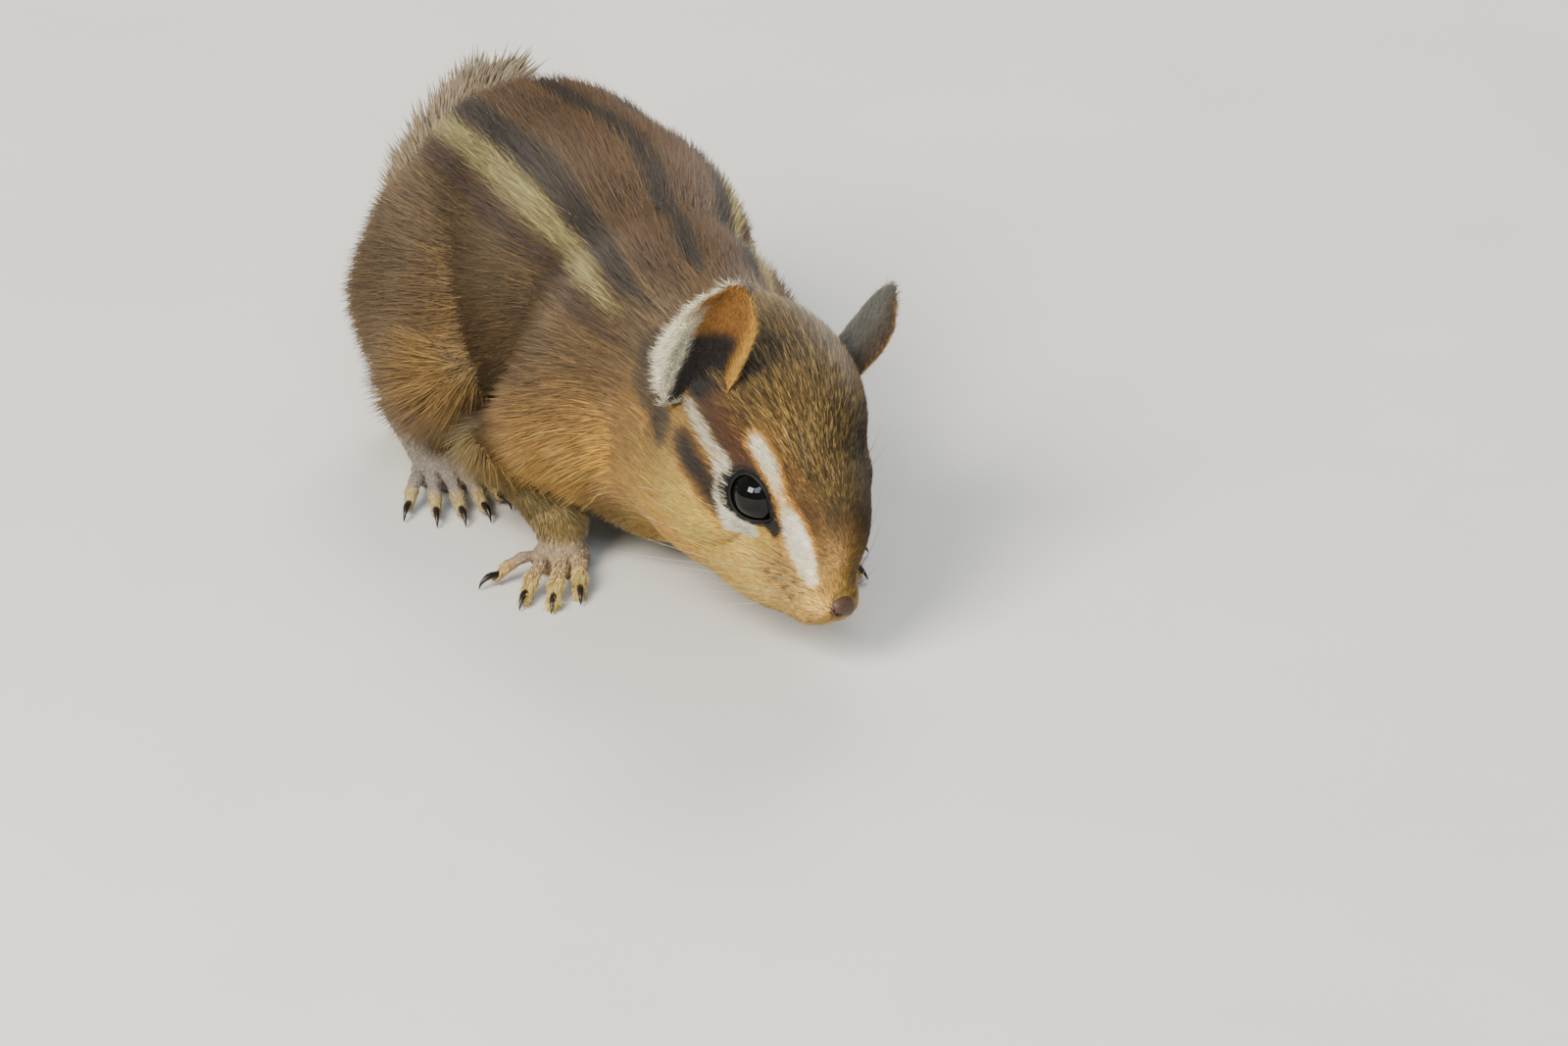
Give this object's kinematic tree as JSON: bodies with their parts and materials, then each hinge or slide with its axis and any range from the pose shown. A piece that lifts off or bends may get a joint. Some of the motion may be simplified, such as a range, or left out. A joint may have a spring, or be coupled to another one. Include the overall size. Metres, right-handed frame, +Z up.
{
  "type": "chipmunk, a still life-size animal model",
  "caption": "Small striped ground rodent crouched on all fours, head lowered and turned, bushy tail laid out behind.",
  "frame": {"origin": "on the floor, under the middle of the whole box", "axes": "+X is the animal's left, -Y is the way its trunk faces, +Y runs back along the trunk to the tail, +Z is up"},
  "size_m": [0.0598, 0.1888, 0.05],
  "materials": {
    "coat": "short dense fur, tawny with dark and cream stripes",
    "coat_head": "very short fur with cream and dark face stripes",
    "ear": "thin skin with sparse fine fur, orange rim",
    "eye": "wet glossy black",
    "nose_skin": "bare moist skin",
    "paw": "sparse pale fur over skin, dark claws",
    "tail_coat": "long bushy hair, frosted tips"
  },
  "bodies": {
    "root": {"head": "coat_head", "nose": "nose_skin", "ear_right": "ear", "ear_left": "ear", "eye_right": "eye", "eye_left": "eye", "neck": "coat", "torso": "coat", "foreleg_right": "coat", "foreleg_left": "coat", "hindleg_right": "coat", "hindleg_left": "coat", "forepaw_right": "paw", "forepaw_left": "paw", "hindfoot_right": "paw", "hindfoot_left": "paw", "tail_root": "tail_coat", "tail_middle": "tail_coat", "tail_tip": "tail_coat"}
  },
  "joints": []
}
